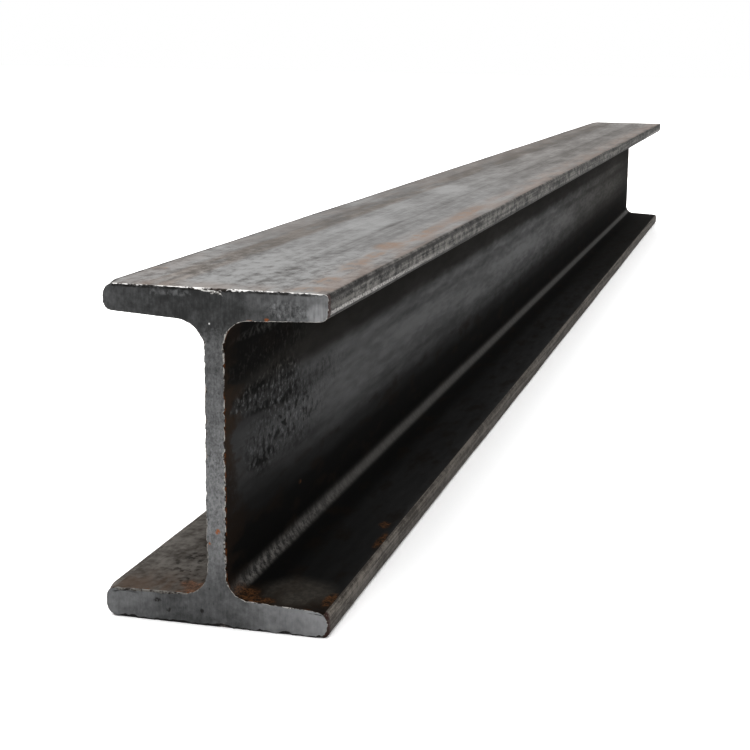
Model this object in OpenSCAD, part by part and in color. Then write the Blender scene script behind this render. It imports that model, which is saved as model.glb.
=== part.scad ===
// A short length of hot-rolled steel I-beam, sawn square at both ends.
//
// The beam lies along Y and stands on its bottom flange. The origin is on the
// underside of that flange, halfway along the beam and under its web.
// Both flanges are a little thicker at the web than at their toes.

/* [Section] */
// Depth of the section, from the underside of one flange to the top of the other
depth = 100; // [90:1:300]
// Width of each flange
flange_w = 67; // [60:1:150]
// Thickness of the web
web_t = 6; // [4:0.1:12]
// Thickness of a flange at its toes
toe_t = 7.8; // [6.5:0.1:16]
// Taper of the flanges' inner faces, in percent
flange_taper = 4.6; // [0:0.1:10]

/* [Rounding] */
// Radius of the root fillets, where the web meets a flange
root_r = 7; // [4:0.5:12]
// Radius of a toe's edge on the outer face of the flange
outer_toe_r = 2.5; // [0.5:0.1:3]
// Radius of a toe's edge on the inner face of the flange
inner_toe_r = 2.8; // [0.5:0.1:3]

/* [Stock] */
// Length that the beam is cut to
cut_length = 1200; // [300:50:12000]

/* [Hidden] */
$fn = 96;
mill_scale = [0.25, 0.24, 0.24];

half_w = flange_w / 2;
half_web = web_t / 2;
half_depth = depth / 2;
taper_angle = atan(flange_taper / 100);

// Height of a flange's inner face above mid-depth, at a distance x from the web's centre plane
function inner_z(x) = half_depth - toe_t - (half_w - x) * flange_taper / 100;

// The sliver between a sharp corner and the circle of radius r that touches both of its edges.
// The edges leave the corner at the angles from and to, measured anticlockwise from +X.
module corner_sliver(corner, r, from, to) {
    half_angle = (to - from) / 2;
    edge_l = r / tan(half_angle);
    centre_l = r / sin(half_angle);
    translate(corner)
        rotate(from)
            difference() {
                polygon([
                    [0, 0],
                    [edge_l, 0],
                    [centre_l * cos(half_angle), centre_l * sin(half_angle)],
                    [edge_l * cos(2 * half_angle), edge_l * sin(2 * half_angle)]
                ]);
                translate([edge_l, r]) circle(r);
            }
}

// The quarter of the section with x and z above zero, from mid-depth up
module quarter_section() {
    difference() {
        union() {
            polygon([
                [0, 0],
                [half_web, 0],
                [half_web, inner_z(half_web)],
                [half_w, inner_z(half_w)],
                [half_w, half_depth],
                [0, half_depth]
            ]);
            corner_sliver([half_web, inner_z(half_web)], root_r, -90, taper_angle);
        }
        corner_sliver([half_w, half_depth], outer_toe_r, 180, 270);
        corner_sliver([half_w, inner_z(half_w)], inner_toe_r, 90, 180 + taper_angle);
    }
}

module section() {
    for (side = [0, 1], end = [0, 1])
        mirror([side, 0])
            mirror([0, end])
                quarter_section();
}

module i_beam() {
    color(mill_scale)
        translate([0, 0, half_depth])
            rotate([90, 0, 0])
                linear_extrude(height = cut_length, center = true)
                    section();
}

i_beam();
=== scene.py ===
"""The looks of a short hot-rolled steel I-beam: dark mill scale, some rust, and bare metal at the cuts.

Everything is in metres, in the CAD frame: the beam lies along Y and stands on z = 0, its web at x = 0.
Its one mesh is swept from the section. It carries the rolling's waviness, the toes' seams and the cuts'
ragged rims as real shape. Grain, pits and scratches finer than that are in the materials.
"""

import math

import bpy
import numpy as np
from mathutils import Matrix, Vector
from mathutils.geometry import delaunay_2d_cdt


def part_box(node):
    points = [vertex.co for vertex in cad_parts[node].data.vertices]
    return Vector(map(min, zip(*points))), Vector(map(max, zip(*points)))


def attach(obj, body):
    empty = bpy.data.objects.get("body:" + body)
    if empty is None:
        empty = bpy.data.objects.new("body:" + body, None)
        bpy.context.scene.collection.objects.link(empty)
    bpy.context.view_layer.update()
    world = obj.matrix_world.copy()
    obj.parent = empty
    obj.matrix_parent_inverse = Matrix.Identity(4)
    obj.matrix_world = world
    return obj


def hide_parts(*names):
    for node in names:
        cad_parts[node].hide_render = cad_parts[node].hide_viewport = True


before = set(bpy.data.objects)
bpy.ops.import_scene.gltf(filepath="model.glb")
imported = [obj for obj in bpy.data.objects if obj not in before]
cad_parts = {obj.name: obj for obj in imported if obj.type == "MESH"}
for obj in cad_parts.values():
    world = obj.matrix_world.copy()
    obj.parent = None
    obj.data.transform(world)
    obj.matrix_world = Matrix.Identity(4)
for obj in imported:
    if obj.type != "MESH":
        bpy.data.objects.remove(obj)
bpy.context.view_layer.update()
low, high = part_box("i_beam")

MM = 0.001
LENGTH = high.y - low.y
DEPTH = high.z - low.z
FLANGE_HALF = (high.x - low.x) / 2

WEB_HALF = 3.0 * MM
TOE_T = 7.8 * MM
# The rolls left the top flange a little to the left of the web
TOP_FLANGE_SHIFT = -0.35 * MM


# ---------------------------------------------------------------- noise for the mesh


def lattice(cells, seed):
    """A repeatable random number from -1 to 1 for each whole-numbered cell."""
    mixed = cells[:, 0] * 73856093 ^ cells[:, 1] * 19349663 ^ cells[:, 2] * 83492791 ^ seed * 2654435
    mixed = (mixed ^ (mixed >> 13)) * 1274126177 & 0x7FFFFFFF
    mixed = (mixed ^ (mixed >> 15)) * 668265263 & 0x7FFFFFFF
    return (mixed % 65536) / 32767.5 - 1


def lumps(points, across, along, seed):
    """Smooth noise from -1 to 1 at N points, with lumps of that size across the beam and along it."""
    cells = points / np.array([across, along, across])
    base = np.floor(cells).astype(np.int64)
    part = cells - base
    part = part * part * (3 - 2 * part)
    total = np.zeros(len(points))
    for corner in np.ndindex(2, 2, 2):
        share = np.where(np.array(corner) == 1, part, 1 - part)
        total += share.prod(axis=1) * lattice(base + np.array(corner), seed)
    return total


def step_up(value, start, end):
    """0 up to start, 1 from end on, and smooth between."""
    t = np.clip((value - start) / (end - start), 0, 1)
    return t * t * (3 - 2 * t)


def hump(value, middle, width):
    """1 at middle, fading to nothing about two widths away."""
    return np.exp(-(((value - middle) / width) ** 2))


# ---------------------------------------------------------------- the section's outline

TOE_STEP = 0.35 * MM
ROOT_STEP = 0.9 * MM
FACE_STEP = 1.25 * MM
BOTTOM_STEP = 3.0 * MM
RIM_PARTS = 3

# Worn rolls leave no two flange halves alike. For each half, by its side and 1 for the bottom flange or
# -1 for the top one: how far past its true width the toe reaches, the toe's thickness, the slope of the
# inner face from it, and the radii of the outer corner, the inner corner and the root
HALVES = {
    (1, 1): (0.3 * MM, TOE_T, 0.046, 1.6 * MM, 2.2 * MM, 7.0 * MM),
    (1, -1): (0.0, TOE_T, 0.046, 1.4 * MM, 2.6 * MM, 7.0 * MM),
    (-1, -1): (0.1 * MM, TOE_T, 0.060, 0.9 * MM, 2.8 * MM, 8.8 * MM),
    (-1, 1): (1.15 * MM, 8.9 * MM, 0.020, 3.9 * MM, 1.1 * MM, 7.0 * MM),
}


def corner_list():
    """The section's sharp corners, anticlockwise from the bottom right: x, z, radius, step round it."""
    corners = []
    for (side, up), (reach, thickness, slope, outer, inner, root) in HALVES.items():
        toe_x = FLANGE_HALF + reach
        root_z = thickness + (toe_x - WEB_HALF) * slope
        three = [
            (side * toe_x, 0, outer, TOE_STEP),
            (side * toe_x, thickness, inner, TOE_STEP),
            (side * WEB_HALF, root_z, root, ROOT_STEP),
        ]
        if up < 0:
            three = [(x, DEPTH - z, radius, step) for x, z, radius, step in three]
        corners += three[:: side * up]
    return corners


def outline():
    """The section as a closed loop of points, anticlockwise seen from the near end."""
    corners = corner_list()
    arcs = []
    for i, (x, z, radius, step) in enumerate(corners):
        before = Vector(corners[i - 1][:2])
        after = Vector(corners[(i + 1) % len(corners)][:2])
        arcs.append(corner_arc(Vector((x, z)), before, after, radius, step))
    loop = []
    for i, arc in enumerate(arcs):
        following = arcs[(i + 1) % len(arcs)]
        loop.extend(arc)
        loop.extend(straight(arc[-1], following[0]))
    return np.array(loop)


def corner_arc(corner, before, after, radius, step):
    """Points on the circle that rounds a corner, from one tangent point to the other."""
    to_before = (before - corner).normalized()
    to_after = (after - corner).normalized()
    half = to_before.angle(to_after) / 2
    centre = corner + (to_before + to_after).normalized() * radius / math.sin(half)
    start = corner + to_before * radius / math.tan(half) - centre
    sweep = math.pi - 2 * half
    turn = math.copysign(1, to_after.x * to_before.y - to_after.y * to_before.x)
    pieces = round(radius * sweep / step)
    first = math.atan2(start.y, start.x)
    angles = [first + turn * sweep * k / pieces for k in range(pieces + 1)]
    return [(centre.x + radius * math.cos(a), centre.y + radius * math.sin(a)) for a in angles]


def straight(start, end):
    """Points between two arcs, without the arcs' own ends."""
    length = math.dist(start, end)
    short = length < 4 * MM
    under = start[1] < 1e-9 and end[1] < 1e-9
    step = TOE_STEP if short else BOTTOM_STEP if under else FACE_STEP
    pieces = round(length / step)
    return [np.array(start) + (np.array(end) - start) * k / pieces for k in range(1, pieces)]


def finer(loop, parts):
    """The same loop with each of its steps cut into parts."""
    ahead = np.roll(loop, -1, axis=0)
    shares = np.arange(parts) / parts
    return (loop[:, None] + (ahead - loop)[:, None] * shares[None, :, None]).reshape(-1, 2)


def outward(loop):
    """The unit normals of an anticlockwise loop, pointing out of the steel."""
    along = np.roll(loop, -1, axis=0) - np.roll(loop, 1, axis=0)
    along /= np.linalg.norm(along, axis=1)[:, None]
    return np.stack([along[:, 1], -along[:, 0]], axis=1)


# ---------------------------------------------------------------- relief of the rolled faces


def relief(points):
    """How far the rolled surface stands out of its true place at each point."""
    wave = 0.06 * MM * lumps(points, 11 * MM, 45 * MM, 1)
    ripple = 0.025 * MM * lumps(points, 4 * MM, 9 * MM, 2)
    return wave + ripple + toe_relief(points)


def toe_relief(points):
    """The toes bulge a little unevenly, and each has a seam that the rolls closed along it."""
    x, _, z = points.T
    side = np.sign(x)
    from_outer = np.minimum(z, DEPTH - z)
    on_toe = step_up(np.abs(x), FLANGE_HALF - 1.6 * MM, FLANGE_HALF - 0.5 * MM)
    on_toe = on_toe * (from_outer < TOE_T + MM)
    bulge = 0.10 * MM * lumps(points, 30 * MM, 55 * MM, 3)
    rough = 0.05 * MM * lumps(points, 1.6 * MM, 3.5 * MM, 4)
    wander = 0.25 * MM * lumps(points * [1, 1, 0], 30 * MM, 35 * MM, 5)
    is_top = z > DEPTH / 2
    seam_at = np.where(is_top, 2.2 * MM, np.where(side > 0, 6.0 * MM, 3.0 * MM)) + wander
    seam_depth = 0.22 * MM * (0.7 + 0.3 * lumps(points * [1, 1, 0], 30 * MM, 22 * MM, 6))
    seam = -seam_depth * hump(from_outer, seam_at, 0.3 * MM)
    return on_toe * (bulge + rough + seam)


# ---------------------------------------------------------------- the cut ends

# Toe corners worn rounder at the cuts: x, z, 1 where they face up or -1 where down, the radius, and how
# far in the wear fades
WORN_CORNERS = [
    (-FLANGE_HALF - 0.1 * MM, DEPTH, 1, 3.6 * MM, 8 * MM),
    (-FLANGE_HALF - 1.15 * MM, 8.9 * MM, 1, 3.0 * MM, 5 * MM),
    (FLANGE_HALF, 0.0, -1, 3.6 * MM, 0.9 * MM),
    (FLANGE_HALF, TOE_T, 1, 3.4 * MM, 0.9 * MM),
]


# How far inside the outline each ring of a rim lies, and how far back from the cut, in rim widths
RIM_SHAPE = [(1.0, 0.0), (0.3, 0.25), (0.0, 0.9)]
RIM_DEPTH_LIMIT = 0.65 * MM
CAP_STEP = 1.7 * MM
CAP_ROW = CAP_STEP * 0.87


def rim_width(points, seed):
    """How wide the torn and rounded rim of a cut is at each point of the outline."""
    x, _, z = points.T
    fine = lumps(points, 0.7 * MM, MM, seed)
    coarse = lumps(points, 3.5 * MM, MM, seed + 1)
    uneven = np.clip(0.5 + 0.35 * fine + 0.35 * coarse, 0.05, 1.2)
    on_top = step_up(z, DEPTH - 0.6 * MM, DEPTH)
    corner_burr = 0.5 * MM * step_up(x, FLANGE_HALF - 6 * MM, FLANGE_HALF - 2 * MM)
    torn_place = 1.6 * MM * step_up(x, -8 * MM, 2 * MM) * step_up(x, 3.4 * MM, 2.2 * MM)
    torn_place += 0.7 * MM * hump(x, 7 * MM, 2.5 * MM)
    on_web = step_up(np.abs(x), 4.5 * MM, 3.5 * MM)
    left_lip = step_up(x, -33.0 * MM, -30.5 * MM) * step_up(x, -9 * MM, -14 * MM)
    left_lip = left_lip * (np.abs(z - 9.3 * MM) < MM)
    inside_toes = step_up(np.abs(x), FLANGE_HALF - 1.0 * MM, FLANGE_HALF - 2.5 * MM)
    under = step_up(z, 0.6 * MM, 0.1 * MM) * inside_toes
    base = (0.34 + 0.22 * on_web + 0.75 * under) * MM
    ragged = (base + on_top * (0.14 * MM + corner_burr + torn_place)) * uneven
    return ragged + left_lip * (0.40 + 0.20 * uneven) * MM


def wear_corners(ring, share):
    """Draws in what lies outside the worn corners' arcs: by that share at the cuts, less further in."""
    from_cut = LENGTH / 2 - np.abs(ring[:, 1])
    for corner_x, corner_z, up, radius, fade in WORN_CORNERS:
        side = math.copysign(1, corner_x)
        dx = ring[:, 0] - (corner_x - side * radius)
        dz = ring[:, 2] - (corner_z - up * radius)
        reach = np.hypot(dx, dz)
        over = (dx * side > 0) & (dz * up > 0) & (reach > radius) & (reach < radius * 1.5)
        worn = share * step_up(from_cut, fade, 0)
        scale = np.where(over, 1 + worn * (radius / np.maximum(reach, MM) - 1), 1)
        ring[:, 0] += dx * (scale - 1)
        ring[:, 2] += dz * (scale - 1)


def rim_rings(loop, normals, at_y, inward, seed):
    """The rings of a cut's rim: its edge on the sawn face, its middle, its edge on the rolled face."""
    points = np.column_stack([loop[:, 0], np.full(len(loop), at_y), loop[:, 1]])
    width = rim_width(points, seed)
    tear = 0.10 * MM * lumps(points, 0.6 * MM, MM, seed + 2)
    under = loop[:, 1] < 0.05 * MM
    on_web = step_up(np.abs(loop[:, 0]), WEB_HALF + 1.3 * MM, WEB_HALF + 0.1 * MM)
    chip = step_up(lumps(points, 1.5 * MM, MM, seed + 3), 0.15, 0.7)
    on_flange = (loop[:, 1] > 6.5 * MM) & (loop[:, 1] < 11 * MM)
    chips = (0.15 * MM * under + 0.35 * MM * on_web + 0.22 * MM * on_flange) * chip
    rings = []
    for inset, back in RIM_SHAPE:
        out = -width * inset - chips + tear * (back > 0) * (inset > 0)
        y = at_y + inward * np.minimum(width, RIM_DEPTH_LIMIT) * back
        ring = np.column_stack([loop[:, 0] + normals[:, 0] * out, y, loop[:, 1] + normals[:, 1] * out])
        wear_corners(ring, 0.9 + 0.1 * inset)
        ring[:, 2] = np.maximum(ring[:, 2], 0)
        rings.append(ring)
    return rings


def cap_triangles(ring):
    """Triangles over a sawn face inside its rim. Returns the new inner points and the triangles."""
    border = [Vector((p[0], p[2])) for p in ring]
    inner = []
    for z in np.arange(CAP_STEP, DEPTH, CAP_ROW):
        for x in np.arange(-FLANGE_HALF, FLANGE_HALF, CAP_STEP):
            inner.append((x + CAP_STEP / 2 * (round(z / CAP_ROW) % 2), z))
    inner = np.array(inner)
    inner = inner[inside(ring[:, [0, 2]], inner, CAP_STEP * 0.45)]
    edges = [(i, (i + 1) % len(border)) for i in range(len(border))]
    made = delaunay_2d_cdt(border + [Vector(p) for p in inner], edges, [], 1, 1e-9)
    if len(made[0]) != len(border) + len(inner):
        raise ValueError("the sawn face's outline crosses itself")
    return inner, [tuple(face) for face in made[2]]


def inside(loop, points, margin):
    """True for the points that lie inside a loop, further than margin from it."""
    ahead = np.roll(loop, -1, axis=0)
    x, z = points[:, 0][:, None], points[:, 1][:, None]
    crosses = (loop[:, 1] > z) != (ahead[:, 1] > z)
    with np.errstate(divide="ignore", invalid="ignore"):
        at_x = loop[:, 0] + (z - loop[:, 1]) / (ahead[:, 1] - loop[:, 1]) * (ahead[:, 0] - loop[:, 0])
    odd = (crosses & (x < at_x)).sum(axis=1) % 2 == 1
    gap = np.sqrt(((points[:, None] - loop[None]) ** 2).sum(axis=2)).min(axis=1)
    return odd & (gap > margin)


# ---------------------------------------------------------------- the beam's mesh


def stations():
    """Distances from the near cut, close together there, and close again at the far cut."""
    near = [2.0 * MM]
    while near[-1] < 0.24:
        near.append(near[-1] + min(7.0 * MM, 0.8 * MM + 0.028 * near[-1]))
    far = [2.0 * MM]
    while far[-1] < 0.06:
        far.append(far[-1] + 1.2 * MM + 0.1 * far[-1])
    gap = LENGTH - near[-1] - far[-1]
    middle = np.linspace(near[-1], LENGTH - far[-1], round(gap / (8.0 * MM)) + 1)
    return np.concatenate([near, middle[1:-1], LENGTH - np.array(far[::-1])])


def ring_at(loop, normals, y):
    """The section at y, with the rolled relief. It never sinks below the floor it stands on."""
    points = np.column_stack([loop[:, 0], np.full(len(loop), y), loop[:, 1]])
    out = relief(points)
    points[:, 0] += normals[:, 0] * out
    points[:, 2] += normals[:, 1] * out
    wear_corners(points, 0.9)
    points[:, 2] = np.maximum(points[:, 2], 0)
    return points


def shift_top(points):
    """Moves the top flange sideways, as the rolls left it, with the web leaning over to it."""
    points[:, 0] += TOP_FLANGE_SHIFT * step_up(points[:, 2], DEPTH * 0.1, DEPTH * 0.9)


OUTER, CHANNEL, SAWN, RIM = range(4)
# The rings between a cut's rim and the coarser ones
FINE_PLACES = (0.7 * MM, 1.3 * MM)
# The share of the colour map's width that the rolled faces take. The two sawn faces lie beside them
SIDES_SHARE = 0.72
MAP_MARGIN = 0.01


def beam_mesh():
    """The whole beam: its section swept along it in rings, and the sawn faces over its ends."""
    loop = outline()
    fine_loop = finer(loop, RIM_PARTS)
    rings = all_rings(loop, fine_loop)
    faces, kinds, map_spots = side_faces(rings, loop, fine_loop)
    points = np.concatenate(rings)
    for ring, first, turn in ((rings[0], 0, 1), (rings[-1], len(points) - len(rings[-1]), -1)):
        added, closing, closing_spots = sawn_face(ring, first, len(points), turn)
        points = np.concatenate([points, added])
        faces += closing
        kinds += [SAWN] * len(closing)
        map_spots += closing_spots
    shift_top(points)
    mesh = bpy.data.meshes.new("i_beam_steel")
    mesh.from_pydata(points.tolist(), [], faces)
    mesh.polygons.foreach_set("material_index", np.array(kinds, np.int32))
    mesh.update()
    layer = mesh.uv_layers.new(name="OFBake", do_init=False)
    layer.uv.foreach_set("vector", np.array(map_spots, np.float32).ravel())
    return mesh


def all_rings(loop, fine_loop):
    """Every ring of points, from the near cut to the far one. Those by the cuts are finer."""
    normals, fine_normals = outward(loop), outward(fine_loop)
    near = rim_rings(fine_loop, fine_normals, low.y, 1, 30)
    near += [ring_at(fine_loop, fine_normals, low.y + d) for d in FINE_PLACES]
    far = rim_rings(fine_loop, fine_normals, high.y, -1, 40)
    far += [ring_at(fine_loop, fine_normals, high.y - d) for d in FINE_PLACES]
    return near + [ring_at(loop, normals, low.y + d) for d in stations()] + far[::-1]


def side_faces(rings, loop, fine_loop):
    """The faces between the rings: their points' numbers, kinds, and spots on the colour map."""
    firsts = np.cumsum([0] + [len(ring) for ring in rings])
    rows = map_rows(rings)
    turns = {len(some): SIDES_SHARE * around(some) for some in (loop, fine_loop)}
    channel = {len(some): in_channel(some) for some in (loop, fine_loop)}
    faces, kinds, map_spots = [], [], []
    for k in range(len(rings) - 1):
        count, next_count = len(rings[k]), len(rings[k + 1])
        for here, there in band(count, next_count):
            next_points = [firsts[k + 1] + i % next_count for i in there]
            faces.append([firsts[k] + i % count for i in here] + next_points)
            map_spots.extend((turns[count][i], rows[k]) for i in here)
            map_spots.extend((turns[next_count][i], rows[k + 1]) for i in there)
        is_rim = min(k, len(rings) - 2 - k) < len(RIM_SHAPE) - 1
        steps = min(count, next_count)
        kinds.extend([RIM] * steps if is_rim else np.where(channel[steps], CHANNEL, OUTER))
    return faces, kinds, map_spots


def sawn_face(ring, first, extra, turn):
    """Closes a cut: the new points inside its rim, its faces, and their spots on the colour map.

    first is the number of the ring's first point, and extra that of the first new one. turn is 1 at the
    near cut and -1 at the far one.
    """
    inner, triangles = cap_triangles(ring)
    added = np.column_stack([inner[:, 0], np.full(len(inner), ring[0, 1]), inner[:, 1]])
    numbers = np.concatenate([first + np.arange(len(ring)), extra + np.arange(len(added))])
    corners = np.array([face[::turn] for face in triangles])
    x, _, z = np.concatenate([ring, added])[corners.ravel()].T
    across = (x + FLANGE_HALF + 2 * MM) / (2 * FLANGE_HALF + 4 * MM)
    across = SIDES_SHARE + MAP_MARGIN + across * (1 - 2 * MAP_MARGIN - SIDES_SHARE)
    up = z / DEPTH * (0.5 - 2 * MAP_MARGIN) + MAP_MARGIN + (0.5 if turn < 0 else 0)
    return added, numbers[corners].tolist(), np.column_stack([across, up]).tolist()


def around(loop):
    """How far round the loop its points and its end are, from 0 to 1. The underside counts half."""
    ahead = np.roll(loop, -1, axis=0)
    steps = np.linalg.norm(ahead - loop, axis=1)
    steps[(loop[:, 1] < 0.1 * MM) & (ahead[:, 1] < 0.1 * MM)] *= 0.5
    return np.concatenate([[0], np.cumsum(steps)]) / steps.sum()


def map_rows(rings):
    """How far up the map each ring lies, from 0 to 1, with the most room near the cuts."""
    from_near = np.array([ring[0, 1] for ring in rings]) - low.y
    middle = (from_near[1:] + from_near[:-1]) / 2
    density = 0.5 + 1.8 * np.exp(-middle / (110 * MM)) + 0.8 * np.exp(-(LENGTH - middle) / (30 * MM))
    gaps = np.maximum(density * np.diff(from_near), 0.8 * MM)
    return np.concatenate([[0], np.cumsum(gaps)]) / gaps.sum()


def in_channel(loop):
    """True for the steps of the loop that lie between the flanges, inside the toes."""
    middle = (loop + np.roll(loop, -1, axis=0)) / 2
    between = np.abs(middle[:, 1] - DEPTH / 2) < DEPTH / 2 - TOE_T + 0.5 * MM
    return between & (np.abs(middle[:, 0]) < FLANGE_HALF - 0.7 * MM)


def band(count, next_count):
    """The faces between two rings, as points on each. A coarse step meets several fine ones."""
    steps = min(count, next_count)
    parts, next_parts = count // steps, next_count // steps
    for i in range(steps):
        yield range((i + 1) * parts, i * parts - 1, -1), range(i * next_parts, (i + 1) * next_parts + 1)


def make_beam():
    """The beam as one object, with its four materials."""
    mesh = beam_mesh()
    for material in (outer_steel(), channel_steel(), sawn_steel(), rim_steel()):
        mesh.materials.append(material)
    mesh.shade_smooth()
    mesh.set_sharp_from_angle(angle=math.radians(50))
    smooth = [polygon.material_index != SAWN for polygon in mesh.polygons]
    mesh.polygons.foreach_set("use_smooth", smooth)
    beam = bpy.data.objects.new("i_beam_steel", mesh)
    bpy.context.scene.collection.objects.link(beam)
    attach(beam, "root")
    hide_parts("i_beam")


# ---------------------------------------------------------------- material building blocks


class Nodes:
    """A node tree, and short ways to add to it."""

    def __init__(self, tree):
        self.tree = tree

    def add(self, kind, sockets=None, **settings):
        """Adds a node. sockets maps its inputs to plain values or to the outputs that feed them."""
        node = self.tree.nodes.new(kind)
        for name, value in settings.items():
            setattr(node, name, value)
        for key, value in (sockets or {}).items():
            if isinstance(value, bpy.types.NodeSocket):
                self.tree.links.new(value, node.inputs[key])
            else:
                node.inputs[key].default_value = value
        return node

    def ramp(self, value, start, end, low_out=0.0, high_out=1.0):
        """low_out where value is at start, high_out where it is at end, and smooth between."""
        sockets = {"Value": value, "From Min": start, "From Max": end}
        sockets.update({"To Min": low_out, "To Max": high_out})
        return self.add("ShaderNodeMapRange", sockets, interpolation_type="SMOOTHSTEP").outputs[0]

    def ramp_mm(self, value, start, end, low_out=0.0, high_out=1.0):
        """The same, with start and end in millimetres."""
        return self.ramp(value, start * MM, end * MM, low_out, high_out)

    def profile(self, value, stops):
        """A smooth curve through stops: pairs of a value in millimetres and what comes out there."""
        first, last = stops[0][0], stops[-1][0]
        sockets = {"Value": value, "From Min": first * MM, "From Max": last * MM}
        share = self.add("ShaderNodeMapRange", sockets).outputs[0]
        node = self.add("ShaderNodeValToRGB", {0: share})
        node.color_ramp.interpolation = "EASE"
        elements = node.color_ramp.elements
        while len(elements) < len(stops):
            elements.new(0.5)
        for element, (position, amount) in zip(elements, stops):
            element.position = (position - first) / (last - first)
            element.color = (amount, amount, amount, 1)
        return node.outputs[0]

    def calc(self, operation, *values):
        return self.add("ShaderNodeMath", dict(enumerate(values)), operation=operation).outputs[0]

    def vector(self, operation, *values):
        return self.add("ShaderNodeVectorMath", dict(enumerate(values)), operation=operation).outputs[0]

    def times(self, *values):
        total = values[0]
        for value in values[1:]:
            total = self.calc("MULTIPLY", total, value)
        return total

    def most(self, *values):
        """The largest of several values."""
        total = values[0]
        for value in values[1:]:
            total = self.calc("MAXIMUM", total, value)
        return total

    def weighted(self, *pairs):
        """The sum of several values, each times its own weight."""
        total = 0.0
        for value, weight in pairs:
            total = self.calc("MULTIPLY_ADD", value, weight, total)
        return total

    def mix(self, share, a, b):
        """The number a where share is 0 and b where it is 1."""
        return self.add("ShaderNodeMix", {0: share, 2: a, 3: b}).outputs[0]

    def blend(self, share, a, b):
        """The colour a where share is 0 and b where it is 1."""
        a, b = ((*c, 1) if isinstance(c, tuple) else c for c in (a, b))
        return self.add("ShaderNodeMix", {0: share, 6: a, 7: b}, data_type="RGBA").outputs[2]


class Steel(Nodes):
    """A steel material: its colour so far, and values that tell where a point is.

    What starts with true_ is exact. The others wander, pushed about by noise, so that what is drawn with
    them gets uneven edges. The functions that build one steel keep the noises that they share on it too.
    """

    def __init__(self, name, metallic, specular, wander, across, along):
        self.material = bpy.data.materials.new(name)
        self.material.use_nodes = True
        super().__init__(self.material.node_tree)
        self.shader = self.tree.nodes["Principled BSDF"]
        self.shader.inputs["Metallic"].default_value = metallic
        self.shader.inputs["Specular IOR Level"].default_value = specular
        self.colour = None
        self.place = self.add("ShaderNodeTexCoord").outputs["Object"]
        self.warped = self.warp(wander, across, along)
        self.x, y, self.z = self.add("ShaderNodeSeparateXYZ", {0: self.warped}).outputs
        self.true_x, true_y, self.true_z = self.add("ShaderNodeSeparateXYZ", {0: self.place}).outputs
        self.off_web = self.calc("ABSOLUTE", self.x)
        self.true_off_web = self.calc("ABSOLUTE", self.true_x)
        self.along = self.calc("SUBTRACT", true_y, low.y)
        self.from_cut = self.calc("SUBTRACT", LENGTH / 2, self.calc("ABSOLUTE", y))
        self.true_from_cut = self.calc("SUBTRACT", LENGTH / 2, self.calc("ABSOLUTE", true_y))

    def stretched(self, place, across, along, up, shift=0.0):
        """Coordinates that grow by 1 in so many millimetres across the beam, along it and upwards."""
        scale = tuple(1 / (size * MM) for size in (across, along, up))
        sockets = {"Vector": place, "Scale": scale, "Location": (shift,) * 3}
        return self.add("ShaderNodeMapping", sockets).outputs[0]

    def grain(self, across, along, up=None, detail=2.0, roughness=0.5, shift=0.0, place=None):
        """Noise from 0 to 1, with lumps so many millimetres across the beam, along it and upwards."""
        stretched = self.stretched(place or self.place, across, along, up or across, shift)
        sockets = {"Vector": stretched, "Scale": 1.0, "Detail": detail, "Roughness": roughness}
        return self.add("ShaderNodeTexNoise", sockets).outputs["Fac"]

    def warp(self, amount, across, along):
        """The coordinates pushed about by up to so many millimetres, and twice as far along."""
        stretched = self.stretched(self.place, across, along, across)
        noise = self.add("ShaderNodeTexNoise", {"Vector": stretched, "Scale": 1.0, "Detail": 3.0})
        push = self.vector("SUBTRACT", noise.outputs["Color"], (0.5, 0.5, 0.5))
        reach = 2 * amount * MM
        return self.vector("ADD", self.place, self.vector("MULTIPLY", push, (reach, reach * 2, reach)))

    def spots(self, *listed, place=None):
        """1 inside any of the listed ellipsoids, fading to 0 outside it.

        Each is its centre and its half sizes in millimetres, x, y, z, with y counted from the near cut.
        """
        found = []
        for x, y, z, half_x, half_y, half_z in listed:
            centre = (x * MM, low.y + y * MM, z * MM)
            offset = self.vector("SUBTRACT", place or self.warped, centre)
            scaled = self.vector("DIVIDE", offset, (half_x * MM, half_y * MM, half_z * MM))
            far = self.add("ShaderNodeVectorMath", {0: scaled}, operation="LENGTH").outputs["Value"]
            found.append(self.ramp(far, 1.25, 0.55))
        return self.most(*found)

    def line_along(self, stops, half):
        """1 on a line drawn across the cut, fading to 0 at half millimetres from it.

        stops are its x and z in millimetres, and its strength.
        """
        line_z = self.times(self.profile(self.true_x, [(x, z / 100) for x, z, _ in stops]), 0.1)
        strength = self.profile(self.true_x, [(x, amount) for x, _, amount in stops])
        off_line = self.calc("ABSOLUTE", self.calc("SUBTRACT", self.true_z, line_z))
        return self.times(self.ramp(off_line, half * MM, 0.35 * half * MM), strength)

    def paint(self, new, *shares):
        """Lays a new colour over the one so far, as thickly as the product of the shares says."""
        self.colour = self.blend(self.times(*shares), self.colour, new)

    def finish(self, roughness, height, depth):
        """Gives the shader its colour, roughness, and a bump of that depth in millimetres."""
        self.tree.links.new(self.colour, self.shader.inputs["Base Color"])
        self.tree.links.new(roughness, self.shader.inputs["Roughness"])
        bump = self.add("ShaderNodeBump", {"Height": height, "Distance": depth * MM, "Strength": 1.0})
        self.tree.links.new(bump.outputs[0], self.shader.inputs["Normal"])
        return self.material


# ---------------------------------------------------------------- the rolled faces between the flanges

BLACK = (0.0022, 0.0021, 0.0018)
# How light the channel is painted up the web, and out along the flanges' inner faces, in millimetres:
# the scale's tone, with a painted sheen in mid-web where it mirrors the floor, and painted shade low on
# the web
WEB_TONES_SHEEN_AND_SHADE = [
    (10, 0.05), (14, 0.0), (24, 0.02), (30, 0.17), (37, 0.46), (44, 0.68), (51, 0.77), (55, 0.70),
    (57.5, 0.56), (59, 0.58), (61, 0.74), (63.5, 0.74), (67.5, 0.44), (75, 0.36), (83, 0.32), (88, 0.05),
]
FLANGE_TONES = [(3, 0.0), (11, 0.04), (18, 0.17), (28, 0.21), (33, 0.28)]

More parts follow.
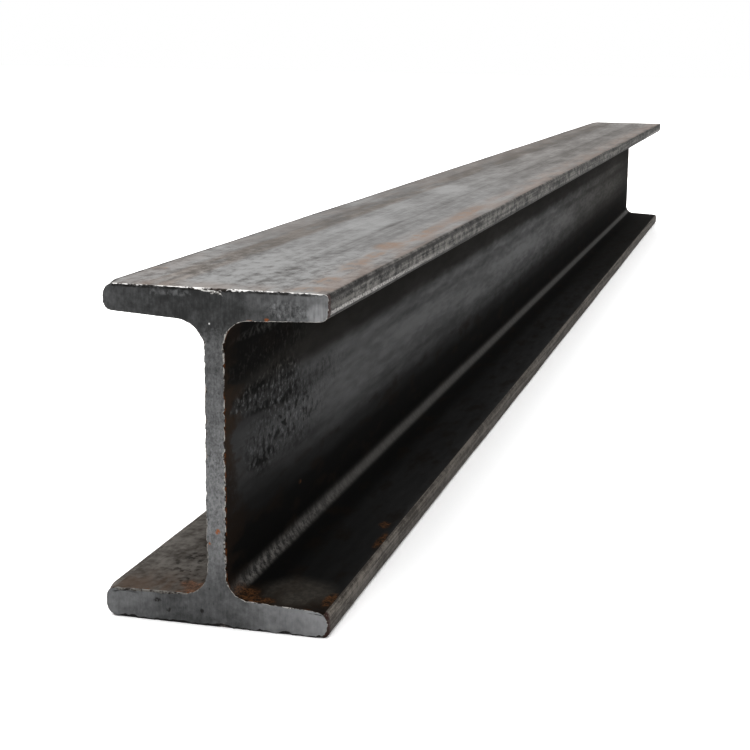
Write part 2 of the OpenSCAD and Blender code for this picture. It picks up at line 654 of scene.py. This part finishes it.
# Places as Steel.spots takes them
SHADE_UNDER_TOP = [(3, 0, 82, 9, 95, 13), (-3, 0, 82, 9, 95, 13)]
NEAR_PITS = [(3, 27, 64, 9, 28, 5), (3, 50, 62, 9, 24, 9)]
LOW_PITS = (3, 36, 47, 9, 20, 9)
LEFT_PITS = (-3, 60, 50, 9, 50, 14)
FAINT_PITS = [(3, 44, 75, 9, 44, 6), (3, 90, 57, 9, 40, 7)]
PIT_ROWS = [(3, 47, 58.6, 9, 30, 1.7), (3, 24, 66, 9, 14, 1.4), (3, 33, 43, 9, 16, 2.2)]
UPPER_FILLET_SHEEN = [(4.2, 30, 83.5, 2.2, 34, 1.7), (-4.2, 30, 83.5, 2.2, 34, 1.7)]
FLANGE_SHEEN = (21, 11, 9, 11, 15, 5)
HOLED_FLANGE = (-14, 26, 10, 10, 26, 9)
ORANGE = [
    (7, 4, 9, 5, 7, 4), (12, 2, 9, 5, 3, 4), (31.5, 10, 8, 2, 6, 4), (28.5, 86, 8, 2, 4, 3),
    (3, 72, 25, 0.7, 2, 0.8), (31, 70, 8, 1.5, 9, 3),
]
LEFT_ORANGE = [(-8, 4, 11, 4, 5, 5), (-12, 8, 10, 3, 3, 5)]


def channel_steel():
    """The web and the flanges' inner faces: near-black scale, pitted and rusty towards the cuts."""
    s = Steel("channel_steel", 0.0, 0.05, wander=2.0, across=9, along=30)
    s.cloudy = s.grain(5, 16, detail=4, shift=3.0)
    s.mottle = s.grain(1.5, 1.9, detail=4, roughness=0.62)
    s.coarse = s.grain(2.4, 3.0, detail=3, roughness=0.45, shift=1.0)
    s.grit = s.grain(0.55, 0.7, detail=2)
    s.streaky = s.grain(2.2, 14, detail=3, shift=6.0)
    s.on_flange = s.ramp_mm(s.off_web, 4.5, 9)
    s.lower = s.ramp(s.true_z, DEPTH / 2, DEPTH / 2 - MM)
    s.left_flange = s.times(s.on_flange, s.ramp_mm(s.x, -4, -9), s.lower)
    s.warm_high = s.most(s.ramp_mm(s.z, 62, 70), s.ramp_mm(s.along, 500, 1100))

    lightness = channel_scale(s)
    faint_pits = s.spots(*FAINT_PITS)
    pitted = channel_pits(s, faint_pits)
    highlit_fillet, gritty = lower_fillet_highlights(s)
    left_flange_scale(s)
    rusty = channel_rust(s)

    smooth_places = s.most(s.times(lightness, s.ramp(rusty, 1, 0)), highlit_fillet)
    roughness = s.ramp(smooth_places, 0.0, 0.8, 0.92, 0.52)
    pits = s.weighted((s.mottle, 0.6), (s.grit, 0.25), (s.cloudy, 0.15))
    strong = s.most(pitted, gritty, s.times(faint_pits, 0.7))
    return s.finish(roughness, s.times(pits, s.ramp(strong, 0, 1, 0.35, 1.4)), 0.22)


def channel_scale(s):
    """The scale's tones with painted light: lightest in mid-web, a painted sheen, and black in the
    corners.
    Returns its lightness.
    """
    tone = s.mix(s.on_flange, s.profile(s.z, WEB_TONES_SHEEN_AND_SHADE), s.profile(s.off_web, FLANGE_TONES))
    soft = s.grain(10, 90, detail=3)
    uneven = s.ramp(s.weighted((soft, 0.6), (s.streaky, 0.4)), 0.34, 0.66, 0.75, 1.11)
    by_cut = s.ramp_mm(s.from_cut, 130, 5, 1.0, 0.5)
    # Painted shade: the web is darkened under the top flange, strongly near the cuts and high up further
    # along
    shade_under_top = s.ramp(s.spots(*SHADE_UNDER_TOP), 0, 1, 1.0, 0.15)
    # Painted shade: the web is painted dimmer towards the far end
    painted_far_shade = s.ramp_mm(s.along, 450, 1050, 1.0, 0.55)
    shade_high_up = s.times(s.ramp_mm(s.z, 59, 68), s.ramp_mm(s.along, 35, 105, 0.0, 0.56))
    shade_high_up = s.times(shade_high_up, s.ramp_mm(s.along, 1100, 600, 0.2, 1.0))
    lightness = s.times(tone, uneven, by_cut, shade_under_top, painted_far_shade, s.calc("SUBTRACT", 1.0, shade_high_up))
    light_scale = s.blend(s.warm_high, (0.090, 0.090, 0.091), (0.094, 0.087, 0.078))
    s.colour = s.blend(lightness, BLACK, light_scale)
    s.paint((0.010, 0.0065, 0.004), s.ramp(s.cloudy, 0.5, 0.7, 0.0, 0.7), s.ramp(tone, 0.6, 0.1))
    return lightness


def channel_pits(s, faint_pits):
    """Grey scale that still sticks between black pits, and painted sheen. Returns how pitted each place
    is.
    """
    near_pits = s.spots(*NEAR_PITS)
    other_pits = s.ramp(s.grain(22, 70, detail=3, shift=9.0), 0.60, 0.70, 0.0, 0.6)
    other_pits = s.times(other_pits, s.ramp_mm(s.x, -2, -2.5))
    low_pits = s.times(s.spots(LOW_PITS), 0.6)
    pitted = s.most(near_pits, s.spots(LEFT_PITS), other_pits, low_pits, s.times(faint_pits, 0.35))
    s.paint((0.009, 0.0085, 0.0075), near_pits, 0.6)
    light_grains = s.ramp(s.weighted((s.mottle, 0.6), (s.coarse, 0.4)), 0.50, 0.64)
    grain_light = s.blend(s.warm_high, (0.135, 0.136, 0.140), (0.082, 0.076, 0.068))
    s.paint(grain_light, pitted, light_grains, 0.62)
    s.holes = s.ramp(s.weighted((s.coarse, 0.62), (s.mottle, 0.20), (s.streaky, 0.18)), 0.470, 0.405)
    s.paint(BLACK, pitted, s.holes, s.ramp(s.left_flange, 0, 1, 0.95, 0.3))
    s.paint(BLACK, s.spots(*PIT_ROWS), s.ramp(s.coarse, 0.56, 0.46), 0.9)
    # Painted sheen: lighter patches on the upper fillets and on the right flange near the cut
    s.paint((0.10, 0.098, 0.092), s.spots(*UPPER_FILLET_SHEEN), s.ramp(s.mottle, 0.40, 0.62), 0.4)
    s.paint((0.075, 0.067, 0.057), s.spots(FLANGE_SHEEN), s.ramp(s.mottle, 0.34, 0.66, 0.6, 1.0), 0.75)
    return pitted


def lower_fillet_highlights(s):
    """A painted highlight runs up each lower fillet, gritty near the cuts. Returns where the two are."""
    past_web = s.ramp_mm(s.true_off_web, 3.1, 4.7)
    highlit_fillet = s.times(past_web, s.ramp_mm(s.true_off_web, 7.0, 4.9), s.lower)
    # Painted highlight along the lower fillets
    s.paint((0.072, 0.068, 0.063), highlit_fillet, s.ramp_mm(s.along, 60, 900, 0.92, 0.5))
    gritty = s.times(highlit_fillet, s.ramp_mm(s.from_cut, 150, 20, 0.15, 0.9))
    turned = {"Vector": s.place, "Angle": math.radians(50)}
    slant = s.add("ShaderNodeVectorRotate", turned, rotation_type="X_AXIS").outputs[0]
    slanting = s.grain(3, 1.8, up=6, detail=4, roughness=0.6, shift=2.0, place=slant)
    specks = s.ramp(s.weighted((s.grit, 0.2), (s.mottle, 0.3), (slanting, 0.5)), 0.42, 0.60)
    s.paint(s.blend(specks, (0.008, 0.0075, 0.007), (0.128, 0.121, 0.114)), gritty)
    return highlit_fillet, gritty


def left_flange_scale(s):
    """The left half of the bottom flange is painted lighter, greyer and more mottled than the right."""
    tone = s.ramp(s.weighted((s.mottle, 0.25), (s.cloudy, 0.40), (s.coarse, 0.35)), 0.35, 0.64)
    scale = s.blend(tone, (0.062, 0.054, 0.047), (0.170, 0.159, 0.146))
    holes = s.times(s.holes, s.spots(HOLED_FLANGE), 0.6)
    s.paint(s.blend(holes, scale, (0.010, 0.009, 0.008)), s.left_flange, 0.85)
    by_cut = s.ramp_mm(s.from_cut, 24, 4)
    s.paint((0.075, 0.052, 0.038), s.left_flange, by_cut, s.ramp(s.cloudy, 0.3, 0.6), 0.75)


def channel_rust(s):
    """Brown rust creeps in from the cuts, with orange places in it. Returns where the brown rust is."""
    reach = s.ramp(s.cloudy, 0.3, 0.7, 3.0, 15.0)
    rusty = s.ramp(s.calc("DIVIDE", s.from_cut, s.times(reach, MM)), 1.7, 0.1)
    rusty = s.times(rusty, s.ramp(s.left_flange, 1, 0), s.ramp(s.mottle, 0.36, 0.54, 0.55, 1.0))
    s.paint((0.0135, 0.0082, 0.0050), rusty, 0.8)
    s.paint((0.034, 0.022, 0.014), rusty, s.ramp_mm(s.z, 42, 52), s.ramp_mm(s.z, 80, 70), 0.7)
    flecks = s.ramp(s.weighted((s.mottle, 0.5), (s.coarse, 0.1), (s.grit, 0.4)), 0.40, 0.64)
    s.paint(s.blend(flecks, (0.016, 0.010, 0.006), (0.125, 0.058, 0.023)), s.spots(*ORANGE), 0.75)
    s.paint(s.blend(flecks, (0.050, 0.034, 0.025), (0.190, 0.098, 0.058)), s.spots(*LEFT_ORANGE), 0.75)
    at_edge = s.times(s.ramp_mm(s.true_from_cut, 1.5, 0.5), s.ramp(s.mottle, 0.46, 0.60))
    s.paint((0.105, 0.040, 0.014), at_edge, s.ramp_mm(s.off_web, 29, 25), s.ramp(s.cloudy, 0.35, 0.6))
    return rusty


# ---------------------------------------------------------------- the flanges' outer faces and toes

# How light the scale is across the top, from the left edge to the right one, in millimetres
ACROSS_TONES = [
    (-33.5, 0.25), (-30, 0.50), (-25, 0.50), (-22, 0.20), (-15, 0.20), (-12, 0.6), (-4, 0.95), (4, 0.9),
    (6.6, 0.6), (7.4, 0.3), (9, 0.50), (16, 0.60), (20, 0.85), (28.5, 0.95), (30, 0.75), (31.5, 0.3),
    (33.5, 0.3),
]
LIGHT_PLACES = [(-6, 345, 100, 9, 28, 9), (-8, 640, 100, 9, 60, 9), (-4, 185, 100, 9, 26, 9)]
DARK_PLACES = [(-18, 75, 100, 7, 60, 9), (-20, 220, 100, 7, 60, 9), (7, 180, 100, 1.4, 24, 9)]
RUST_PLACES = [(22.5, 113, 100, 5.8, 13, 9), (33, 20, 95.6, 2, 2.5, 0.9), (33, 85, 98.2, 2, 3, 0.6)]
FAINT_RUST = [
    (24, 62, 100, 3.5, 18, 9), (24, 88, 100, 3, 12, 9), (25, 26, 100, 4, 8, 9), (26, 8, 100, 6, 5, 9),
    (25, 155, 100, 3, 34, 9), (25, 235, 100, 3.5, 40, 9), (-30, 33, 100, 3, 3, 9),
]


def outer_steel():
    """The flanges' outer faces and toes: rubbed mill scale with lengthwise rolling marks."""
    s = Steel("outer_steel", 0.0, 0.15, wander=1.2, across=8, along=45)
    s.streaks = s.grain(1.1, 60, detail=3)
    s.blotches = s.grain(3.2, 5.5, detail=4, roughness=0.6)
    s.grit = s.grain(0.6, 0.9, detail=3, roughness=0.6)
    s.warmth = s.grain(6, 30, detail=3, shift=5.0)
    tone = outer_scale(s)
    outer_rust(s)
    toes(s)
    height = s.weighted((s.blotches, 0.45), (s.grit, 0.35), (s.streaks, 0.20))
    return s.finish(s.ramp(tone, 0.0, 1.0, 0.68, 0.55), height, 0.20)


def outer_scale(s):
    """The scale's tones: blotchy near the cuts, in long bands beyond, and darker far along as painted
    shade.
    Returns its lightness.
    """
    across = s.profile(s.x, ACROSS_TONES)
    patches = s.grain(8, 42, detail=3)
    near = s.ramp_mm(s.from_cut, 130, 20, 0.25, 1.0)
    # Painted shade: the far part is painted darker, and browner
    far = s.ramp_mm(s.along, 200, 700)
    gritty = s.times(near, s.calc("SUBTRACT", s.grit, 0.5))
    tone = s.weighted(
        (across, 0.26), (patches, 0.50), (s.streaks, 0.30), (s.times(near, s.blotches), 1.5),
        (gritty, 0.45), (far, -0.14), (s.spots(*LIGHT_PLACES), 0.12), (s.spots(*DARK_PLACES), -0.14),
        (near, -0.61),
    )
    tone = s.ramp(tone, 0.20, 0.94)
    left_band = s.times(s.ramp_mm(s.x, -24, -21), s.ramp_mm(s.x, -12, -15))
    warm = s.most(s.times(left_band, s.ramp(s.warmth, 0.3, 0.6)), s.times(far, 0.45))
    scale_dark = s.blend(warm, (0.062, 0.058, 0.055), (0.066, 0.057, 0.049))
    scale_light = s.blend(warm, (0.190, 0.190, 0.188), (0.180, 0.163, 0.149))
    s.colour = s.blend(tone, scale_dark, scale_light)
    s.paint((0.060, 0.053, 0.048), s.ramp_mm(s.true_x, -32.0, -33.2), 0.7)
    return tone


def outer_rust(s):
    """Brown dust of rust along the edges and at the cuts, and rust places in it."""
    on_edge = s.ramp_mm(s.off_web, 17, 27)
    right_edge = s.times(on_edge, s.ramp_mm(s.x, 0, 10))
    by_cut = s.ramp_mm(s.from_cut, 16, 2)
    dusty = s.most(s.times(right_edge, 0.9), s.times(by_cut, 0.7), s.times(on_edge, 0.35))
    s.paint((0.160, 0.126, 0.107), dusty, s.ramp(s.warmth, 0.36, 0.6, 0.15, 0.7))
    rust_at = s.times(s.spots(*RUST_PLACES), s.ramp(s.blotches, 0.34, 0.56, 0.2, 0.8))
    speckled = s.weighted((s.blotches, 0.5), (s.grit, 0.25), (s.streaks, 0.25))
    faint_at = s.times(s.spots(*FAINT_RUST), s.ramp(speckled, 0.44, 0.58, 0.05, 0.75))
    s.paint((0.150, 0.096, 0.062), s.most(rust_at, faint_at))


def toes(s):
    """The toes are gritty, and the top ones have a dark groove, a rubbed lower corner with a painted
    sheen, painted shade below it, and a torn end.
    """
    on_toe = s.ramp(s.true_off_web, FLANGE_HALF - 1.5 * MM, FLANGE_HALF - 0.7 * MM)
    is_top = s.ramp(s.true_z, DEPTH / 2 - MM, DEPTH / 2 + MM)
    s.paint(s.blend(is_top, low_toe(s), top_toe(s)), on_toe)
    from_outer = s.calc("SUBTRACT", DEPTH, s.true_z)
    groove = s.times(on_toe, s.ramp_mm(from_outer, 0.5, 0.9), s.ramp_mm(from_outer, 2.1, 1.5))
    s.paint((0.012, 0.010, 0.009), groove, s.ramp_mm(s.from_cut, 400, 60, 0.4, 0.85))
    shaded = s.ramp(from_outer, TOE_T - 2.3 * MM, TOE_T - 1.4 * MM)
    s.paint((0.012, 0.011, 0.010), on_toe, is_top, shaded, 0.85)
    # The lower corner is rubbed bright, and its lightness is partly a painted reflection of the floor
    rubbed = s.times(on_toe, is_top, s.ramp(from_outer, TOE_T - 3.1 * MM, TOE_T - 2.6 * MM))
    rubbed = s.times(rubbed, s.ramp(from_outer, TOE_T - 1.4 * MM, TOE_T - 2.0 * MM))
    s.paint((0.27, 0.26, 0.25), rubbed, s.ramp(s.grit, 0.35, 0.55), s.ramp_mm(s.from_cut, 220, 50))
    s.paint((0.032, 0.014, 0.011), on_toe, s.ramp_mm(s.from_cut, 2.7, 1.6), s.ramp(s.grit, 0.36, 0.50))


def top_toe(s):
    gritty = s.ramp(s.weighted((s.streaks, 0.30), (s.blotches, 0.42), (s.grit, 0.28)), 0.41, 0.60)
    light = s.blend(s.ramp_mm(s.from_cut, 6, 34), (0.088, 0.083, 0.076), (0.118, 0.112, 0.103))
    return s.blend(gritty, (0.008, 0.0075, 0.007), light)


def low_toe(s):
    gritty = s.ramp(s.weighted((s.streaks, 0.50), (s.blotches, 0.30), (s.grit, 0.20)), 0.41, 0.59)
    lit = s.times(s.ramp_mm(s.true_z, 1.5, 6.0), s.ramp_mm(s.from_cut, 200, 5, 0.6, 1.0))
    light = s.blend(lit, (0.078, 0.069, 0.060), (0.133, 0.118, 0.101))
    return s.blend(gritty, (0.034, 0.028, 0.023), light)


# ---------------------------------------------------------------- the sawn faces and their rims

# How bright the sawn steel is painted up the web, and along the top and bottom flanges, in millimetres:
# the metal's own unevenness, with painted light that makes the flat cut brighter to the right
SAWN_WEB_LIGHT = [
    (8, 0.43), (14, 0.47), (22, 0.63), (30, 0.69), (45, 0.70), (60, 0.57), (72, 0.52), (84, 0.44),
    (90, 0.24),
]
SAWN_TOP_LIGHT = [
    (-33, 0.34), (-22, 0.21), (-6, 0.13), (6, 0.17), (12, 0.34), (20, 0.42), (26, 0.48), (29, 0.66),
    (33, 0.66),
]
SAWN_BOTTOM_LIGHT = [
    (-33, 0.61), (-22, 0.57), (-17, 0.36), (-6, 0.37), (5, 0.41), (16, 0.70), (25, 0.80), (28, 0.98),
    (33, 1.0),
]
# How gritty the web's cut is, upwards
WEB_GRIT = [(10, 0.1), (20, 0.3), (32, 0.8), (48, 0.8), (65, 0.5), (85, 0.4)]

SCRATCHED = (21, 0, 94.5, 6.5, 9, 3.2)
SCRAPED = [(-12, 0, 98.2, 5.5, 9, 1.1), (-18.5, 0, 98, 1.2, 9, 1.3)]
SHINY = (30, 0, 94.4, 3.6, 9, 2.8)
HOLES = [(-18.5, 0, 6.6, 1.3, 9, 0.8), (-14.8, 0, 3.8, 0.8, 9, 0.8), (-4.5, 0, 4.3, 0.7, 9, 0.9)]
CUT_RUST = [
    (0.5, 0, 29, 0.8, 9, 0.8), (15, 0, 91.7, 0.8, 9, 0.6), (-2.4, 0, 25, 0.7, 9, 0.7),
    (10.5, 0, 91.6, 0.9, 9, 0.4),
]
BRIGHT_DOT = (-1.7, 0, 89.9, 0.27, 9, 0.30)
BURR_CRACKS = [(-0.5, 0, 99.75, 2.0, 9, 0.22), (-4.2, 0, 99.2, 1.6, 9, 0.2)]

# Lines across the cut, as Steel.line_along takes them: dark cracks under the lower rims, and the burr on
# the top one
LEFT_CRACK = [
    (-33, 7.8, 0.0), (-32, 7.75, 0.8), (-30.5, 8.2, 0.6), (-28.5, 8.35, 1.0), (-26, 8.1, 1.0),
    (-23.8, 7.7, 0.0),
]
RIGHT_CRACK = [(27, 7.2, 0.0), (29.5, 7.2, 0.7), (31.5, 7.05, 0.9), (32.6, 6.7, 0.0)]
BURR_LINE = [
    (-7.5, 100, 0.0), (-5.4, 99.7, 1.0), (-2.7, 99.2, 0.9), (0.5, 99.05, 1.0), (1.6, 98.6, 0.8),
    (2.5, 97.9, 0.0),
]
# Where a dark crack runs just below the top edge, and how bright the rim is along it, from left to right
EDGE_CRACKS = [
    (-33, 0.0), (-31, 0.8), (-23, 0.9), (-17, 0.5), (-10, 0.9), (-7, 0.9), (-2, 0.3), (3, 0.9),
    (10, 0.4), (14, 0.8), (26, 0.8), (30, 0.3), (33, 0.0),
]
RIM_ACROSS = [
    (-33.5, 0.2), (-31, 0.42), (-22, 0.38), (-17, 0.52), (-8, 0.60), (-5, 0.40), (1, 0.40), (3.5, 0.2),
    (5, 0.75), (10, 0.8), (12, 0.4), (19, 0.5), (22, 0.8), (25, 0.6), (30, 1.0), (33.5, 1.0),
]
BURR = (0.62, 0.61, 0.59)
CRACK = (0.008, 0.007, 0.006)


def sawn_steel():
    """The sawn faces: dull bare metal with fine saw marks, and painted light that makes them brighter to
    the right.
    """
    s = Steel("sawn_steel", 0.75, 0.5, wander=1.0, across=5, along=5)
    s.marks = s.grain(0.5, 4, up=6, detail=3, roughness=0.6)
    s.blotch = s.grain(1.5, 1.5, up=1.8, detail=3, shift=2.0)
    s.grit = s.grain(0.7, 0.7, up=1.0, detail=3, roughness=0.7)
    in_top = s.ramp_mm(s.z, 87, 93)
    in_bottom = s.ramp_mm(s.z, 14, 8)
    in_web = s.times(s.ramp_mm(s.true_off_web, 5, 3), s.ramp(in_top, 1, 0), s.ramp(in_bottom, 1, 0))
    tone = s.mix(in_top, s.profile(s.z, SAWN_WEB_LIGHT), s.profile(s.x, SAWN_TOP_LIGHT))
    tone = s.mix(in_bottom, tone, s.profile(s.x, SAWN_BOTTOM_LIGHT))
    tone = s.ramp(scratched_tone(s, tone, in_web), 0.61, 2.04)
    s.colour = s.blend(tone, (0.028, 0.0285, 0.0285), (0.25, 0.252, 0.256))
    sawn_flaws(s, in_web)
    height = s.weighted((s.marks, 0.4), (s.grit, 0.6))
    return s.finish(s.ramp(s.grit, 0.3, 0.7, 0.45, 0.60), height, 0.07)


def scratched_tone(s, tone, in_web):
    """The tone with the saw's marks, the web's grit, and scratched, scraped and shiny places."""
    cloud = s.grain(5, 5, detail=4, roughness=0.6)
    scratched = s.spots(SCRATCHED)
    web_grit = s.times(s.profile(s.true_z, WEB_GRIT), 1.5)
    roughened = s.weighted((s.times(in_web, web_grit), 1.0), (scratched, 1.0))
    gritty = s.calc("ADD", roughened, 0.30)
    blotchy = s.times(scratched, s.calc("SUBTRACT", s.blotch, 0.5))
    scraped = s.times(s.spots(*SCRAPED), s.ramp(s.blotch, 0.42, 0.60))
    shiny = s.times(s.spots(SHINY), s.ramp(s.marks, 0.3, 0.6, 0.4, 1.0))
    return s.weighted(
        (tone, 1.0), (cloud, 0.72), (s.marks, 0.24), (s.blotch, 0.42),
        (s.calc("SUBTRACT", s.grit, 0.5), gritty), (blotchy, 0.9), (scraped, 0.30), (shiny, 0.38),
    )


def sawn_flaws(s, in_web):
    """Pits, holes, cracks, the burr, rust specks and one bright dot."""
    pits = s.ramp(s.weighted((s.grit, 0.5), (s.grain(1.6, 1.6, shift=4.0), 0.5)), 0.385, 0.345)
    pits = s.times(pits, s.ramp(in_web, 0, 1, 0.25, 0.7))
    uneven = s.weighted((s.blotch, 0.5), (s.grit, 0.5))
    holes = s.times(s.spots(*HOLES), s.ramp(uneven, 0.58, 0.46))
    s.paint((0.012, 0.010, 0.009), s.most(s.times(pits, 0.8), s.times(holes, 0.8)))
    below_edge = s.times(s.ramp_mm(s.true_z, 98.9, 99.35), s.profile(s.x, EDGE_CRACKS))
    s.paint(CRACK, below_edge, s.ramp(uneven, 0.62, 0.46))
    lower_cracks = s.most(s.line_along(LEFT_CRACK, 0.36), s.line_along(RIGHT_CRACK, 0.22))
    s.paint(CRACK, lower_cracks, s.ramp(s.blotch, 0.40, 0.52, 0.4, 1.0), 0.9)
    s.paint(BURR, s.line_along(BURR_LINE, 0.34), s.ramp(s.grit, 0.36, 0.50, 0.3, 1.0), 0.9)
    s.paint((0.24, 0.080, 0.022), s.spots(*CUT_RUST), s.ramp(s.grit, 0.42, 0.52), 0.85)
    s.paint((0.50, 0.50, 0.50), s.spots(BRIGHT_DOT, place=s.place))


def rim_steel():
    """The torn rim of a cut: bright smeared metal, dark where it is chipped, painted brighter to the
    right as a reflection of the floor, and dark along the floor as painted contact shadow.
    """
    s = Steel("rim_steel", 0.75, 0.5, wander=0.5, across=3, along=3)
    fine = s.grain(0.8, 0.8, detail=3)
    broad = s.grain(3, 3, detail=2)
    up_top = s.ramp(s.true_z, DEPTH - 2.2 * MM, DEPTH - 0.5 * MM)
    along_top = s.times(up_top, s.calc("SUBTRACT", s.profile(s.x, RIM_ACROSS), 0.5))
    bright = s.ramp(s.weighted((fine, 0.6), (broad, 0.4), (along_top, 0.35)), 0.41, 0.55)
    # Painted reflection of the floor: the lower rim is painted brighter to the right
    low_rim = s.blend(s.ramp_mm(s.x, -14, 14), (0.125, 0.119, 0.110), (0.38, 0.37, 0.35))
    smeared = s.blend(up_top, low_rim, (0.52, 0.51, 0.50))
    s.colour = s.blend(bright, (0.022, 0.017, 0.014), smeared)
    s.paint((0.018, 0.010, 0.007), s.spots(*BURR_CRACKS, place=s.place), 0.85)
    s.paint(BURR, s.line_along(BURR_LINE, 0.34), s.ramp(fine, 0.36, 0.50, 0.3, 1.0))
    on_side = s.ramp(s.true_off_web, FLANGE_HALF - 0.9 * MM, FLANGE_HALF - 0.4 * MM)
    s.paint((0.030, 0.013, 0.010), on_side, s.ramp(fine, 0.68, 0.48))
    # Painted dark along the floor: partly dirt, partly a painted contact shadow
    s.paint((0.007, 0.006, 0.0055), s.ramp_mm(s.true_z, 1.6, 0.9), 0.95)
    return s.finish(s.ramp(fine, 0.3, 0.7, 0.35, 0.55), fine, 0.05)


# ---------------------------------------------------------------- stage


def make_floor():
    """A wide floor of pale paper."""
    half = 12.0
    mesh = bpy.data.meshes.new("floor")
    corners = [(-half, -half, 0), (half, -half, 0), (half, half, 0), (-half, half, 0)]
    mesh.from_pydata(corners, [], [(0, 1, 2, 3)])
    floor = bpy.data.objects.new("floor", mesh)
    bpy.context.scene.collection.objects.link(floor)
    paper = bpy.data.materials.new("pale_paper")
    paper.use_nodes = True
    shader = paper.node_tree.nodes["Principled BSDF"]
    shader.inputs["Base Color"].default_value = (0.98, 0.98, 0.98, 1)
    shader.inputs["Roughness"].default_value = 0.9
    mesh.materials.append(paper)


# The camera's direction from the near cut, in degrees, and its place in beam depths from that cut's foot
VIEW_AZIMUTH = 14.395
VIEW_ELEVATION = 11.781
VIEW_ROLL = -0.891
VIEW_PLACE = Vector((1.4955, -4.0106, 1.6479))
VIEW_LENS = 73.884
# The photograph is printed with strong contrast
PRINT_GAMMA = 0.8


def make_camera():
    """A camera where the photograph was taken from."""
    azimuth, elevation, roll = (math.radians(a) for a in (VIEW_AZIMUTH, VIEW_ELEVATION, VIEW_ROLL))
    level = Vector((math.sin(azimuth), -math.cos(azimuth), 0))
    back = level * math.cos(elevation) + Vector((0, 0, math.sin(elevation)))
    right = Vector((0, 0, 1)).cross(back).normalized()
    up = back.cross(right)
    leaning_right = math.cos(roll) * right - math.sin(roll) * up
    leaning_up = math.sin(roll) * right + math.cos(roll) * up
    lens = bpy.data.cameras.new("camera")
    lens.sensor_width = 36
    lens.lens = VIEW_LENS
    camera = bpy.data.objects.new("camera", lens)
    bpy.context.scene.collection.objects.link(camera)
    turn = Matrix((leaning_right, leaning_up, back)).transposed()
    foot = Vector((0, low.y, 0))
    camera.matrix_world = Matrix.Translation(foot + VIEW_PLACE * DEPTH) @ turn.to_4x4()
    bpy.context.scene.camera = camera


# The studio's brightness in each direction
HORIZON_Z = 0.05
ZENITH_Z = 0.9
HORIZON_FRONT = 0.45
HORIZON_BACK = 0.9
ZENITH = 1.95

# The key light: a very wide softbox, up to the left of the beam and a little behind it
KEY_DIRECTION = Vector((-0.55, 0.35, 1.0))
KEY_ANGLE = 70
KEY_POWER = 1.5


def make_light():
    """A white studio, strongest overhead and weakest from the camera's side, and a soft key light."""
    world = bpy.data.worlds.new("studio")
    world.use_nodes = True
    bpy.context.scene.world = world
    sky = Nodes(world.node_tree)
    direction = sky.add("ShaderNodeTexCoord").outputs["Generated"]
    parts = sky.add("ShaderNodeSeparateXYZ", {0: direction}).outputs
    overhead = sky.ramp(parts["Z"], HORIZON_Z, ZENITH_Z)
    horizon = sky.ramp(parts["Y"], -0.5, 0.5, HORIZON_FRONT, HORIZON_BACK)
    seen = sky.add("ShaderNodeLightPath").outputs["Is Camera Ray"]
    strength = sky.mix(seen, sky.mix(overhead, horizon, ZENITH), 1.0)
    background = sky.tree.nodes["Background"]
    sky.tree.links.new(strength, background.inputs["Strength"])
    background.inputs["Color"].default_value = (1, 1, 1, 1)

    key = bpy.data.lights.new("key", "SUN")
    key.energy = KEY_POWER
    key.angle = math.radians(KEY_ANGLE)
    softbox = bpy.data.objects.new("key", key)
    softbox.rotation_euler = KEY_DIRECTION.to_track_quat("Z", "Y").to_euler()
    bpy.context.scene.collection.objects.link(softbox)


make_beam()
make_floor()
make_camera()
make_light()
bpy.context.scene.view_settings.view_transform = "Standard"
bpy.context.scene.view_settings.gamma = PRINT_GAMMA
